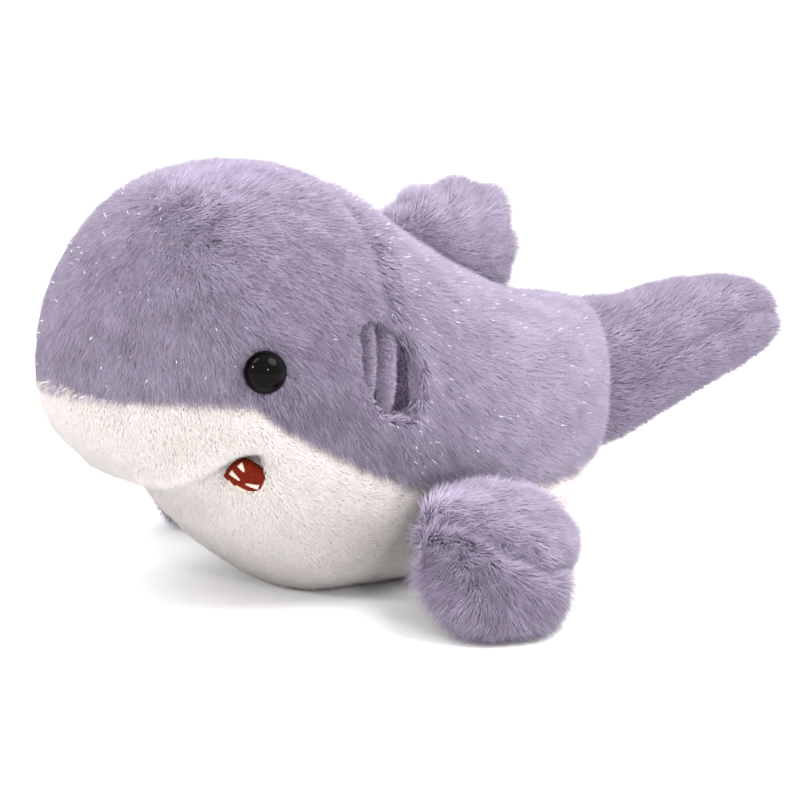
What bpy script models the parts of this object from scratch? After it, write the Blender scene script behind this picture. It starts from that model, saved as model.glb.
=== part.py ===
"""A plush shark lying on its belly, as its sewn panels, stuffing, eyes and soft fins.

The head points to -Y, the tail to +Y and the shark's left side to +X. The belly rests on z = 0.
Each fabric panel is a closed shell whose thickness covers the backing cloth and its pile.
"""

import math

import bmesh
import bpy
import numpy as np
from mathutils import Matrix, Vector

MM = 0.001

# Driving dimensions, in metres.
CLOTH = 4.5 * MM  # backing cloth and pile
FIN_CLOTH = 3 * MM
SEAM_GAP = 0.4 * MM  # between two panels along their seam
LAYER_GAP = 2.2 * MM  # between a panel and the stuffing under it
NECK_Y = -62 * MM  # seam between the head panels and the back panels
NOSE_OPENING = 0.15  # where the head's panels start, in stations from the nose

GILL_HALF_WIDTH = 9.5 * MM
GILL_MIDDLE = 0.23  # share of the way from the side seam to the back seam
GILL_REACH = 0.13
SIDE_ROWS = 16  # rows of faces from the side seam to the back seam
UNDER_ROWS = 16  # from one side seam, under the body, to the other
SEAM_RADIUS = 60 * MM  # of the trunk, for the angle that the seam's gap takes
GILL_FOLDS = 3
GILL_DEPTH = 1.1 * MM

MOUTH_FRONT_Y = -116 * MM  # under the muzzle, on the middle plane
MOUTH_CORNER_Y = -94 * MM  # where the muzzle panel ends at the side seam
MOUTH_PATCH = dict(y=-105 * MM, angle=55, half_length=5.6 * MM, half_angle=5.5)
MOUTH_RISE = 5  # degrees round the body that the patch's long axis climbs from its middle to its rear end

EYE_Y = -103 * MM
EYE_Z = 73 * MM
EYE_RADIUS = 6 * MM
EYE_HEIGHT = 5.4 * MM
SHANK_RADIUS = 2 * MM
SHANK_LENGTH = 11 * MM
WASHER_RADIUS = 8 * MM
WASHER_THICKNESS = 2 * MM
BACKING = 1.5 * MM  # cloth left under the eye
WASHER_DROP = 1.6 * MM  # from the flat back of the cloth, which curves down to the washer's edge
SLACK = 0.4 * MM  # around the eye, its shank and its washer

TAIL_AXIS_Y = 62 * MM
TAIL_ROOT_RADIUS = 19 * MM
TRUNK_END_Y = TAIL_AXIS_Y - TAIL_ROOT_RADIUS - 0.7 * MM

DORSAL_FRONT = (0.0, -33 * MM, 111.5 * MM)  # foot of the fin's front edge
DORSAL_REAR = (0.0, 16 * MM, 89.5 * MM)
DORSAL_AXIS_HEIGHT = 6.4 * MM

PECTORAL_FRONT_Y = -60 * MM
PECTORAL_LENGTH = 52 * MM
PECTORAL_ROOT = (61 * MM, 35 * MM)  # x and z of the root, beside the flank
PECTORAL_DROOP = 37  # degrees below level
PECTORAL_SWEEP = 16  # degrees towards the head
PECTORAL_AXIS_REACH = 5 * MM

# Stations in millimetres: y, half width, lowest z, highest z, z of the widest place, z of the side seam.
TRUNK_STATIONS = (
    (-142.5, 0, 67, 67, 67, 67),
    (-139.5, 20, 53, 88, 67, 65),
    (-132, 36, 44, 103, 67.5, 65.5),
    (-120, 49, 36.5, 117, 68, 66.5),
    (-108, 56, 32, 126, 68, 64),
    (-98, 59, 18, 129, 67, 60),
    (-86, 60, 7, 130.5, 65, 53),
    (-70, 60, -2, 128.5, 62, 45),
    (-50, 58, -3, 120, 58, 38),
    (-30, 54, -3, 108, 55, 34),
    (-5, 49, -2, 95, 52, 31),
    (18, 41.5, 5, 88, 52, 31),
    (32, 33.5, 15, 86.5, 54, 34),
    (40, 26.5, 23, 85, 55, 38),
    (45, 22, 30, 83, 57, 42),
)

# Stations in millimetres: distance along the fin, half thickness, lowest and highest place.
TAIL_STATIONS = (
    (43, 0, 48, 68),
    (44, 6.1, 38, 78),
    (48, 12.8, 33, 82),
    (54, 17.2, 31, 84),
    (62, 19, 33, 84.5),
    (76, 18.5, 38.5, 86.5),
    (92, 17.5, 45, 88.5),
    (108, 15.5, 51, 88.5),
    (123, 13, 56, 86),
    (134, 9.5, 61, 81),
    (141, 4.5, 65.5, 76),
    (142.5, 0, 69.5, 71.5),
)
DORSAL_STATIONS = (
    (0, 0, 6, 7),
    (3, 4, 1.5, 12),
    (10, 8, 0, 17.5),
    (19, 10, -0.8, 23),
    (29, 10.5, -0.6, 26.5),
    (38, 10, -0.6, 26),
    (45, 8.5, 0, 21),
    (51, 5.5, 1.5, 13),
    (54, 0, 4, 8),
)
PECTORAL_STATIONS = (
    (0, 0, 16, 22),
    (3, 6, 5, 37),
    (11, 10.5, -2, 46.5),
    (22, 12.5, -4, 52),
    (34, 12.5, -2, 52),
    (44.5, 10, 3, 43.5),
    (50, 6, 9, 31),
    (52, 0, 18, 21),
)


class Loft:
    """A smooth surface through stations. Angle 0 is its underside, 90 its left side and 180 its top."""

    def __init__(self, stations, fullness, floor=False, open_end=False):
        rows = []
        for row in stations:
            y, half, low, high = row[:4]
            wide, seam = row[4:] if len(row) > 4 else ((low + high) / 2, low)
            rows.append([y, half, low, high, wide, seam])
        rows = np.array(rows) * MM
        before = 2 * rows[0] - rows[1]
        before[0] = rows[1][0]
        after = 2 * rows[-1] - rows[-2]
        if not open_end:
            after[0] = rows[-2][0]
        self.rows = np.vstack([before, rows, after])
        self.last = len(rows) - 1
        self.fullness = fullness
        self.floor = floor

    def station(self, u):
        """The Catmull-Rom station at u, which counts stations from the front."""
        i = min(int(u), self.last - 1)
        f = u - i
        a, b, c, d = self.rows[i : i + 4]
        return b + 0.5 * f * (c - a + f * (2 * a - 5 * b + 4 * c - d + f * (3 * (b - c) + d - a)))

    def at(self, y):
        """The u whose station lies at y."""
        low, high = 0.0, float(self.last)
        for _ in range(40):
            middle = (low + high) / 2
            if self.station(middle)[0] < y:
                low = middle
            else:
                high = middle
        return (low + high) / 2

    def bare(self, u, angle):
        y, half, low, high, wide, _ = self.station(u)
        side = math.sin(math.radians(angle))
        rise = -math.cos(math.radians(angle))
        reach = (high - wide) if rise > 0 else (wide - low)
        x = math.copysign(abs(side) ** self.fullness, side) * half
        z = wide + math.copysign(abs(rise) ** self.fullness, rise) * reach
        return Vector((x, y, z))

    def normal(self, u, angle):
        u = min(max(u, 0.06), self.last - 0.06)
        along = self.bare(u + 0.05, angle) - self.bare(u - 0.05, angle)
        around = self.bare(u, angle + 2) - self.bare(u, angle - 2)
        return along.cross(around).normalized()

    def point(self, u, angle, inset=0.0):
        """A point of the surface, or of the surface moved inwards by inset."""
        place = self.bare(u, angle) - self.normal(u, angle) * inset
        if self.floor:
            place.z = max(place.z, inset)
        return place

    def seam_angle(self, u):
        _, _, low, _, wide, seam = self.station(u)
        drop = min(max((wide - seam) / max(wide - low, MM), 0), 0.95)
        return math.degrees(math.acos(drop ** (1 / self.fullness)))


def clear_scene():
    for thing in list(bpy.data.objects):
        bpy.data.objects.remove(thing, do_unlink=True)


def material(name, colour, roughness, metallic=0.0):
    made = bpy.data.materials.new(name)
    made.use_nodes = True
    shader = made.node_tree.nodes["Principled BSDF"]
    shader.inputs["Base Color"].default_value = (*colour, 1)
    shader.inputs["Roughness"].default_value = roughness
    shader.inputs["Metallic"].default_value = metallic
    made.diffuse_color = (*colour, 1)
    return made


def lavender_plush():
    return material("lavender_plush", (0.38, 0.32, 0.46), 0.95)


def white_plush():
    return material("white_plush", (0.84, 0.78, 0.74), 0.95)


def red_felt():
    return material("red_felt", (0.20, 0.022, 0.010), 0.9)


def white_thread():
    return material("white_thread", (0.86, 0.82, 0.78), 0.7)


def black_plastic():
    return material("black_plastic", (0.008, 0.007, 0.007), 0.08)


def clear_washer():
    return material("washer_plastic", (0.75, 0.75, 0.73), 0.4)


def fibre_fill():
    return material("fibre_fill", (0.88, 0.88, 0.87), 1.0)


def finish(name, mesh_data, look, origin=(0, 0, 0)):
    """Turns a bmesh in world space into an object whose origin lies at the given place."""
    bmesh.ops.recalc_face_normals(mesh_data, faces=mesh_data.faces)
    bmesh.ops.translate(mesh_data, verts=mesh_data.verts, vec=-Vector(origin))
    mesh = bpy.data.meshes.new(name)
    mesh_data.to_mesh(mesh)
    mesh_data.free()
    mesh.materials.append(look)
    mesh.shade_smooth()
    mesh.set_sharp_from_angle(angle=math.radians(40))
    made = bpy.data.objects.new(name, mesh)
    made.location = origin
    bpy.context.collection.objects.link(made)
    return made


def sheet_between(rows_out, rows_in):
    """A closed bmesh between two grids of points of the same size."""
    made = bmesh.new()
    grids = []
    for rows in (rows_out, rows_in):
        grids.append([[made.verts.new(place) for place in row] for row in rows])
    outer, inner = grids
    tall, wide = len(outer), len(outer[0])
    for i in range(tall - 1):
        for j in range(wide - 1):
            made.faces.new((outer[i][j], outer[i + 1][j], outer[i + 1][j + 1], outer[i][j + 1]))
            made.faces.new((inner[i][j], inner[i][j + 1], inner[i + 1][j + 1], inner[i + 1][j]))
    rim = [(0, j) for j in range(wide)]
    rim += [(i, wide - 1) for i in range(1, tall)]
    rim += [(tall - 1, j) for j in range(wide - 2, -1, -1)]
    rim += [(i, 0) for i in range(tall - 2, 0, -1)]
    for (i, j), (k, m) in zip(rim, rim[1:] + rim[:1]):
        made.faces.new((outer[i][j], outer[k][m], inner[k][m], inner[i][j]))
    return made


def core_of(name, loft, start, end, inset, around, along, look, place=Matrix(), origin=(0, 0, 0)):
    """The stuffing: a closed loft that lies inside the panels, with a flat cap at each end."""
    made = bmesh.new()
    rings = []
    for i in range(along + 1):
        u = start + (end - start) * i / along
        ring = []
        for k in range(around):
            ring.append(made.verts.new(place @ loft.point(u, 360 * k / around, inset)))
        rings.append(ring)
    for near, far in zip(rings, rings[1:]):
        for k in range(around):
            n = (k + 1) % around
            made.faces.new((near[k], near[n], far[n], far[k]))
    made.faces.new(rings[0])
    made.faces.new(list(reversed(rings[-1])))
    return finish(name, made, look, origin)


def knots(start, end):
    """Stations from start to end by whole steps, so panels meet point to point along a seam."""
    inner = [k for k in range(len(TRUNK_STATIONS)) if start + 0.2 < k < end - 0.2]
    return [start, *inner, end]


def stretched(base, start, end):
    """The same stations, moved to fill start to end."""
    share = (end - start) / (base[-1] - base[0])
    return [start + (u - base[0]) * share for u in base]


def neck_bump(share):
    """How far the gill opening has widened at this share of the way up the side, 0 to 1."""
    off = (share - GILL_MIDDLE) / GILL_REACH
    return math.cos(math.pi / 2 * off) ** 2 if abs(off) < 1 else 0.0


def side_panel(name, loft, side, front, rear, look):
    """A panel from the side seam up to the back seam. front and rear give y at a share of the way up."""
    rows_out, rows_in = [], []
    base = knots(loft.at(front(0)), loft.at(rear(0)))
    for k in range(SIDE_ROWS + 1):
        share = k / SIDE_ROWS
        out, into = [], []
        for u in stretched(base, loft.at(front(share)), loft.at(rear(share))):
            low = loft.seam_angle(u) + math.degrees(SEAM_GAP / SEAM_RADIUS)
            angle = low + (180 - low) * share
            for row, inset in ((out, 0.0), (into, CLOTH)):
                place = loft.point(u, angle, inset)
                place.x = max(place.x, SEAM_GAP / 2) * side
                row.append(place)
        rows_out.append(out)
        rows_in.append(into)
    return finish(name, sheet_between(rows_out, rows_in), look)


def head_panels(loft, look):
    nose = loft.station(NOSE_OPENING)[0]
    made = []
    for word, side in (("left", 1), ("right", -1)):
        made.append(
            side_panel(
                f"head_panel_{word}",
                loft,
                side,
                lambda share: nose,
                lambda share: NECK_Y - SEAM_GAP / 2 - GILL_HALF_WIDTH * neck_bump(share),
                look,
            )
        )
    return made


def back_panels(loft, look):
    for word, side in (("left", 1), ("right", -1)):
        side_panel(
            f"back_panel_{word}",
            loft,
            side,
            lambda share: NECK_Y + SEAM_GAP / 2 + GILL_HALF_WIDTH * neck_bump(share),
            lambda share: TRUNK_END_Y,
            look,
        )


def gill_panels(loft, look):
    """The pleated insert between head and back, a lens of three folds that lies a little deeper."""
    wide = 4 * GILL_FOLDS
    for word, side in (("left", 1), ("right", -1)):
        rows_out, rows_in = [], []
        for k in range(SIDE_ROWS):
            share = k / SIDE_ROWS
            half = GILL_HALF_WIDTH * neck_bump(share) - SEAM_GAP / 2
            if half <= 0:
                continue
            out, into = [], []
            for i in range(wide + 1):
                u = loft.at(NECK_Y + half * (2 * i / wide - 1))
                low = loft.seam_angle(u)
                angle = low + (180 - low) * share
                fold = GILL_DEPTH * (1 + math.cos(2 * math.pi * GILL_FOLDS * i / wide))
                for row, inset in ((out, fold), (into, CLOTH)):
                    place = loft.point(u, angle, inset)
                    place.x *= side
                    row.append(place)
            rows_out.append(out)
            rows_in.append(into)
        finish(f"gill_panel_{word}", sheet_between(rows_out, rows_in), look)


def under_panel(name, loft, front, rear, look):
    """A white panel from one side seam, under the body, to the other. Its ends take a share of -1 to 1."""
    rows_out, rows_in = [], []
    base = knots(loft.at(front(1)), loft.at(rear(1)))
    for k in range(UNDER_ROWS + 1):
        share = 2 * k / UNDER_ROWS - 1
        out, into = [], []
        for u in stretched(base, loft.at(front(share)), loft.at(rear(share))):
            angle = loft.seam_angle(u) * share
            out.append(loft.point(u, angle))
            into.append(loft.point(u, angle, CLOTH))
        rows_out.append(out)
        rows_in.append(into)
    return finish(name, sheet_between(rows_out, rows_in), look)


def mouth_y(share):
    """The mouth seam: furthest back where it meets the side seams."""
    return MOUTH_FRONT_Y + (MOUTH_CORNER_Y - MOUTH_FRONT_Y) * share**2


def white_panels(loft, look):
    nose = loft.station(NOSE_OPENING)[0]

    def lip(share):
        return mouth_y(share) - SEAM_GAP

    def chin(share):
        return mouth_y(share) + SEAM_GAP

    under_panel("muzzle_panel", loft, lambda share: nose, lip, look)
    under_panel("belly_panel", loft, chin, lambda share: TRUNK_END_Y, look)


def on_patch(loft, side, along, across, lift):
    """A point this far over the surface at the mouth; along and across the patch run from -1 to 1."""
    y = MOUTH_PATCH["y"] + MOUTH_PATCH["half_length"] * along
    angle = MOUTH_PATCH["angle"] + MOUTH_RISE * along + MOUTH_PATCH["half_angle"] * across
    place = loft.point(loft.at(y), angle, -lift)
    place.x *= side
    return place


def mouth_patches(loft, look):
    """A red lens in each corner of the mouth, lying on the white panels."""
    steps = 12
    for word, side in (("left", 1), ("right", -1)):
        rows_out, rows_in = [], []
        for k in range(steps + 1):
            along = 0.96 * (2 * k / steps - 1)
            half = 1 - along**2
            for rows, lift in ((rows_out, 1.6 * MM), (rows_in, 0.6 * MM)):
                rows.append([on_patch(loft, side, along, half * across / 2, lift) for across in range(-2, 3)])
        finish(f"mouth_patch_{word}", sheet_between(rows_out, rows_in), look)


def teeth(loft, look):
    """Stitched teeth: a row of points hanging from each edge of the patch, joined along the edge."""
    count = 3
    for word, side in (("left", 1), ("right", -1)):
        for row, edge in (("upper", 1), ("lower", -1)):
            rows_out, rows_in = [], []
            for k in range(2 * count + 1):
                along = 0.62 * (k / count - 1)
                outline = 0.92 * (1 - along**2) * edge
                tip = outline - edge * (0.55 if k % 2 else 0.16)
                for rows, lift in ((rows_out, 2.6 * MM), (rows_in, 2.0 * MM)):
                    rows.append([on_patch(loft, side, along, across, lift) for across in (outline, tip)])
            finish(f"{row}_teeth_{word}", sheet_between(rows_out, rows_in), look)


def turned(name, profile, place, steps, look):
    """A round piece: the profile of (radius, height) turned about the local Z, then put in place."""
    made = bmesh.new()
    verts = [made.verts.new((radius, 0, height)) for radius, height in profile]
    edges = [made.edges.new(pair) for pair in zip(verts, verts[1:])]
    if profile[0][0] > 0:
        edges.append(made.edges.new((verts[-1], verts[0])))
    whole = 2 * math.pi
    bmesh.ops.spin(
        made, geom=verts + edges, cent=(0, 0, 0), axis=(0, 0, 1), angle=whole, steps=steps, use_merge=True
    )
    bmesh.ops.remove_doubles(made, verts=made.verts, dist=0.01 * MM)
    bmesh.ops.transform(made, matrix=place, verts=made.verts)
    return finish(name, made, look, place.translation)


def eye_frame(loft, side):
    """Local Z points out of the head; the origin is on the cloth that the eye's flange lies on."""
    u = loft.at(EYE_Y)
    _, _, _, high, wide, _ = loft.station(u)
    angle = 90 + math.degrees(math.asin(((EYE_Z - wide) / (high - wide)) ** (1 / loft.fullness)))
    seat = loft.point(u, angle, CLOTH - BACKING)
    out = loft.normal(u, angle)
    seat.x *= side
    out.x *= side
    turn = Vector((0, 0, 1)).rotation_difference(out)
    return Matrix.Translation(seat) @ turn.to_matrix().to_4x4()


def eyes(loft, look, washer_look):
    """A black dome on a shank, and the washer that locks on the shank behind the cloth."""
    for word, side in (("left", 1), ("right", -1)):
        place = eye_frame(loft, side)
        dome = [(0, EYE_HEIGHT + 0.3 * MM)]
        for step in range(1, 6):
            turn = math.pi / 2 * step / 5
            dome.append((EYE_RADIUS * math.sin(turn), 0.3 * MM + EYE_HEIGHT * math.cos(turn)))
        shank = [(SHANK_RADIUS, 0.3 * MM), (SHANK_RADIUS, -SHANK_LENGTH), (0, -SHANK_LENGTH)]
        turned(f"eye_{word}", dome + shank, place, 18, look)
        top = -BACKING - WASHER_DROP
        hole = SHANK_RADIUS + SLACK
        ring = [
            (hole, top),
            (WASHER_RADIUS, top),
            (WASHER_RADIUS, top - WASHER_THICKNESS),
            (hole, top - WASHER_THICKNESS),
        ]
        turned(f"eye_washer_{word}", ring, place, 16, washer_look)


def cut(target, cutter):
    cutter.hide_render = True
    cutter.display_type = "WIRE"
    step = target.modifiers.new(cutter.name, "BOOLEAN")
    step.operation = "DIFFERENCE"
    step.solver = "EXACT"
    step.object = cutter


def eye_cutters(loft, heads, core, look):
    """The well in the pile for each eye, its shank's hole, and the washer's pocket in the stuffing."""
    for word, side, head in (("left", 1, heads[0]), ("right", -1, heads[1])):
        place = eye_frame(loft, side)
        well, hole = EYE_RADIUS + SLACK, SHANK_RADIUS + SLACK
        far = 2 * CLOTH
        through = [(0, far), (well, far), (well, 0), (hole, 0), (hole, -far), (0, -far)]
        cut(head, turned(f"cut_eye_{word}", through, place, 18, look))
        deep = -BACKING - WASHER_DROP - WASHER_THICKNESS - SLACK
        wide = WASHER_RADIUS + SLACK
        end = -SHANK_LENGTH - SLACK
        pocket = [(0, far), (wide, far), (wide, deep), (hole, deep), (hole, end), (0, end)]
        cut(core, turned(f"cut_washer_{word}", pocket, place, 16, look))


def fin(name, loft, place, origin, words, along, around, look, fill):
    """Two panels sewn round a stuffed middle; place maps the loft's own frame to the world."""
    for word, side in zip(words, (1, -1)):
        rows_out, rows_in = [], []
        for k in range(around + 1):
            angle = 180 * k / around
            out, into = [], []
            for i in range(along + 1):
                u = 0.3 + (loft.last - 0.6) * i / along
                for row, inset in ((out, 0.0), (into, FIN_CLOTH)):
                    point = loft.point(u, angle, inset)
                    point.x = max(point.x, SEAM_GAP / 2) * side
                    row.append(place @ point)
            rows_out.append(out)
            rows_in.append(into)
        finish(f"{name}_{word}", sheet_between(rows_out, rows_in), look, origin)
    core_of(
        f"{name}_stuffing",
        loft,
        0.75,
        loft.last - 0.75,
        FIN_CLOTH + LAYER_GAP,
        10,
        along,
        fill,
        place,
        origin,
    )


def tail_fin(look, fill):
    loft = Loft(TAIL_STATIONS, 0.95)
    origin = (0, TAIL_AXIS_Y, 60 * MM)
    fin("tail_fin", loft, Matrix(), origin, ("left", "right"), 10, 8, look, fill)


def dorsal_fin(look, fill):
    """Stands on the sloping back. It flops about a line just over its foot."""
    loft = Loft(DORSAL_STATIONS, 0.95)
    front, rear = Vector(DORSAL_FRONT), Vector(DORSAL_REAR)
    along = (rear - front).normalized()
    up = Vector((1, 0, 0)).cross(along)
    turn = Matrix((Vector((1, 0, 0)), along, up)).transposed().to_4x4()
    place = Matrix.Translation(front) @ turn
    origin = place @ Vector((0, (rear - front).length / 2, DORSAL_AXIS_HEIGHT))
    fin("dorsal_fin", loft, place, origin, ("left", "right"), 8, 8, look, fill)


def pectoral_fins(look, fill):
    """One flipper low on each flank, hanging out and down to the ground."""
    loft = Loft(PECTORAL_STATIONS, 0.9)
    droop = math.radians(PECTORAL_DROOP)
    for word, side in (("left", 1), ("right", -1)):
        out = Vector((side * math.cos(droop), -math.tan(math.radians(PECTORAL_SWEEP)), -math.sin(droop)))
        thick = Vector((side * math.sin(droop), 0, math.cos(droop)))
        turn = Matrix((thick, Vector((0, 1, 0)), out)).transposed().to_4x4()
        root = Vector((side * PECTORAL_ROOT[0], PECTORAL_FRONT_Y, PECTORAL_ROOT[1]))
        place = Matrix.Translation(root) @ turn
        origin = place @ Vector((0, PECTORAL_LENGTH / 2, PECTORAL_AXIS_REACH))
        fin(f"pectoral_fin_{word}", loft, place, origin, ("top", "bottom"), 8, 8, look, fill)


def main():
    clear_scene()
    lavender, white, fill = lavender_plush(), white_plush(), fibre_fill()
    trunk = Loft(TRUNK_STATIONS, 0.9, floor=True, open_end=True)
    heads = head_panels(trunk, lavender)
    back_panels(trunk, lavender)
    gill_panels(trunk, lavender)
    white_panels(trunk, white)
    core = core_of("body_stuffing", trunk, 0.3, trunk.at(TRUNK_END_Y), CLOTH + LAYER_GAP, 20, 18, fill)
    mouth_patches(trunk, red_felt())
    teeth(trunk, white_thread())
    plastic = black_plastic()
    eyes(trunk, plastic, clear_washer())
    eye_cutters(trunk, heads, core, plastic)
    dorsal_fin(lavender, fill)
    pectoral_fins(lavender, fill)
    tail_fin(lavender, fill)


main()
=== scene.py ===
"""A plush shark lying on its belly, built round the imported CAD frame.

The head points to -Y, the tail to +Y and the shark's left side to +X. Every soft part is a padded
skin, lofted through stations, with its pile on top as short closed hairs.
"""

import math

import bmesh
import bpy
import numpy as np
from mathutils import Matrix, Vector


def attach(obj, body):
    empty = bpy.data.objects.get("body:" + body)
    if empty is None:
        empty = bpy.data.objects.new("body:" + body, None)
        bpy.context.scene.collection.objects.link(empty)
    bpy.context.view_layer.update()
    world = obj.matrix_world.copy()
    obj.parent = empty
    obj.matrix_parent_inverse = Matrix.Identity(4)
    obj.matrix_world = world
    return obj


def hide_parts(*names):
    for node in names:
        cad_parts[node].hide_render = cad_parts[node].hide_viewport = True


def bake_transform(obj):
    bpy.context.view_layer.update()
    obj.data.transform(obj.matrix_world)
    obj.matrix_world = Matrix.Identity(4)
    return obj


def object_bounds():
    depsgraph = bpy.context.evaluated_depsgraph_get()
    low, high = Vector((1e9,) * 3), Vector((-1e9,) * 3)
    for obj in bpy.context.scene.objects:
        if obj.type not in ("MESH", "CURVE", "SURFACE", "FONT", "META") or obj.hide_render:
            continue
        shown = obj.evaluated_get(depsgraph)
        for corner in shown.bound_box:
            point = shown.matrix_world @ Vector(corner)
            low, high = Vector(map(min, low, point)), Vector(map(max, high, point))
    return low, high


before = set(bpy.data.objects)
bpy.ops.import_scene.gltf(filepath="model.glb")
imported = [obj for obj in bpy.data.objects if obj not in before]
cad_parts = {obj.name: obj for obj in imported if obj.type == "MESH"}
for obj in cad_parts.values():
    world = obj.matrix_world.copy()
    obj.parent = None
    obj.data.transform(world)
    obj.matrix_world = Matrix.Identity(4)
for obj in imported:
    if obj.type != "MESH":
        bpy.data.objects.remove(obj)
CAD_LOW, CAD_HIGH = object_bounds()
CAD_LENGTH_MM = 284.86
MM = (CAD_HIGH.y - CAD_LOW.y) / CAD_LENGTH_MM

random = np.random.default_rng(20)

# All sizes below are in millimetres, up to the stage.
PILE = 4.2  # how deep the lavender skin lies under the outline, to leave room for its pile
WHITE_PILE = 1.9
FIN_PILE = 3.4
FACE_SHORTER = 0.45  # share of that depth which is lost on the face
FACE_FLATTER = 0.5
UNDERFUR = 0.35  # share of the hairs that are short and thick
STRAY = 0.3  # how unevenly the hairs lean
CLUMPS = 0.25  # how far they lean together in clumps

# Hair: length, height of its tip over its root, width.
BODY_HAIR = (6.6, PILE * 0.95, 0.26)
BELLY_HAIR = (2.8, WHITE_PILE * 0.85, 0.3)
FIN_HAIR = (6, FIN_PILE, 0.28)
PECTORAL_HAIR = (7, FIN_PILE, 0.28)
NAP_HAIR = (2.0, 1.0, 0.28)
# How many hairs there are in one piece.
BODY_HAIRS = 49000
DORSAL_HAIRS = 26000
TAIL_HAIRS = 49000
PECTORAL_HAIRS = 40000
NAP_HAIRS = 9000
BACK_THREADS = 330
HEAD_THREADS = 150

# Trunk stations: y, half width, lowest z, highest z, z of the widest place, z of the side seam.
TRUNK_STATIONS = (
    (-142.5, 0, 67, 67, 67, 67),
    (-139.5, 20, 53, 88, 67, 66.5),
    (-132, 36, 44, 103, 67.5, 67),
    (-120, 49, 36.5, 117, 68, 67.5),
    (-108, 56, 32, 126, 68, 65),
    (-98, 59, 18, 129, 67, 60),
    (-86, 60, 7, 130.5, 65, 53),
    (-70, 60, -2, 128.5, 62, 45),
    (-50, 58, -3, 120, 58, 38),
    (-30, 54, -3, 108, 55, 34),
    (-5, 49, -2, 95, 52, 31),
    (18, 41.5, 5, 88, 52, 31),
    (32, 33.5, 15, 86.5, 54, 34),
    (40, 26.5, 23, 85, 55, 38),
    (46, 18, 31, 82, 57, 42),
    (50, 9, 43, 72, 58, 50),
    (51.5, 0, 58, 58, 58, 58),
)
# Fin stations: distance along the fin, half thickness, lowest and highest place.
TAIL_STATIONS = (
    (30, 0, 50, 66),
    (32, 9, 36, 80),
    (40, 15, 30, 83),
    (52, 18, 30, 84),
    (64, 19, 33.5, 84),
    (76, 18.5, 38.5, 86.5),
    (92, 17.5, 45, 88.5),
    (108, 15.5, 51, 88.5),
    (121, 13, 56, 86),
    (130, 9.5, 61, 81),
    (135, 5, 66, 76),
    (136.5, 0, 70, 72),
)
DORSAL_STATIONS = (
    (-1, 0, -3, -1),
    (1.5, 4, -7, 4),
    (8, 8, -8, 13),
    (16, 10, -8, 19.5),
    (26, 10.5, -8, 24.5),
    (35, 10, -8, 26.5),
    (42, 9, -8, 23.5),
    (47.5, 7.5, -8, 18),
    (52, 4.5, -8, 9),
    (54, 0, -4, 0),
)
PECTORAL_STATIONS = (
    (-1.5, 0, 18, 22),
    (1.5, 6, 6, 35),
    (9, 10.5, -2, 45.5),
    (21, 12.5, -4, 52),
    (34, 12.5, -2, 50.5),
    (44.5, 10, 3, 41),
    (50, 6, 9, 29.5),
    (52, 0, 18, 21),
)
TAIL_CREASE_Y = (50, 66, 84, 100, 110, 122, 136)
TAIL_CREASE_Z = (58, 63, 68, 73, 76.5, 77.5, 75)
PECTORAL_CREASE_Y = (2, 10, 21, 35, 48)
PECTORAL_CREASE_Z = (10, 17, 30, 38, 34)
DORSAL_FRONT = (0, -33, 111.5)
DORSAL_REAR = (0, 16, 89.5)
PECTORAL_ROOT = (60, -60, 33)
PECTORAL_DROOP = 37  # degrees
PECTORAL_SWEEP = 16
# Exponents of the cross-sections: 1 is an ellipse, less is fuller.
ROUND = 0.9
FIN_ROUND = 0.95


# ---------------------------------------------------------------- surfaces


def unit(v):
    return v / np.maximum(np.linalg.norm(v, axis=-1, keepdims=True), 1e-9)


def square_to(normal, way):
    """The unit direction nearest to way at a right angle to the normal."""
    return unit(way - normal * (way @ normal))


class Loft:
    """A smooth surface through stations. Angle 0 is its underside, 90 its left side and 180 its top."""

    def __init__(self, stations, fullness):
        rows = []
        for y, half, low, high, *more in stations:
            wide, seam = more or ((low + high) / 2, low)
            rows.append((y, half, low, high, wide, seam))
        rows = np.array(rows, float)
        before = 2 * rows[0] - rows[1]
        before[0] = rows[1][0]
        after = 2 * rows[-1] - rows[-2]
        after[0] = rows[-2][0]
        self.rows = np.vstack([before, rows, after])
        self.last = len(rows) - 1
        self.fullness = fullness
        self.u_table = np.linspace(0, self.last, 40 * self.last + 1)
        self.y_table = np.maximum.accumulate(self.station(self.u_table)[:, 0])

    def station(self, u):
        u = np.clip(np.asarray(u, float), 0, self.last)
        i = np.minimum(u.astype(int), self.last - 1)
        f = (u - i)[..., None]
        a, b, c, d = (self.rows[i + k] for k in range(4))
        return b + 0.5 * f * (c - a + f * (2 * a - 5 * b + 4 * c - d + f * (3 * (b - c) + d - a)))

    def at(self, y):
        return np.interp(y, self.y_table, self.u_table)

    def bare(self, u, angle):
        row = self.station(u)
        side, rise = np.sin(np.radians(angle)), -np.cos(np.radians(angle))
        y, half, low, high, wide = (row[..., k] for k in range(5))
        x = np.sign(side) * np.abs(side) ** self.fullness * half
        reach = np.where(rise > 0, high - wide, wide - low)
        z = wide + np.sign(rise) * np.abs(rise) ** self.fullness * reach
        return np.stack([x, y + 0 * x, z], axis=-1)

    def normal(self, u, angle):
        u = np.clip(u, 0.04, self.last - 0.04)
        along = self.bare(u + 0.03, angle) - self.bare(u - 0.03, angle)
        around = self.bare(u, angle + 1.5) - self.bare(u, angle - 1.5)
        return unit(np.cross(along, around))

    def point(self, u, angle, inset):
        return self.bare(u, angle) - self.normal(u, angle) * np.asarray(inset)[..., None]

    def seam_angle(self, u):
        row = self.station(u)
        drop = (row[..., 4] - row[..., 5]) / np.maximum(row[..., 4] - row[..., 2], 1)
        return np.degrees(np.arccos(np.clip(drop, 0, 0.95) ** (1 / self.fullness)))


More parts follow.
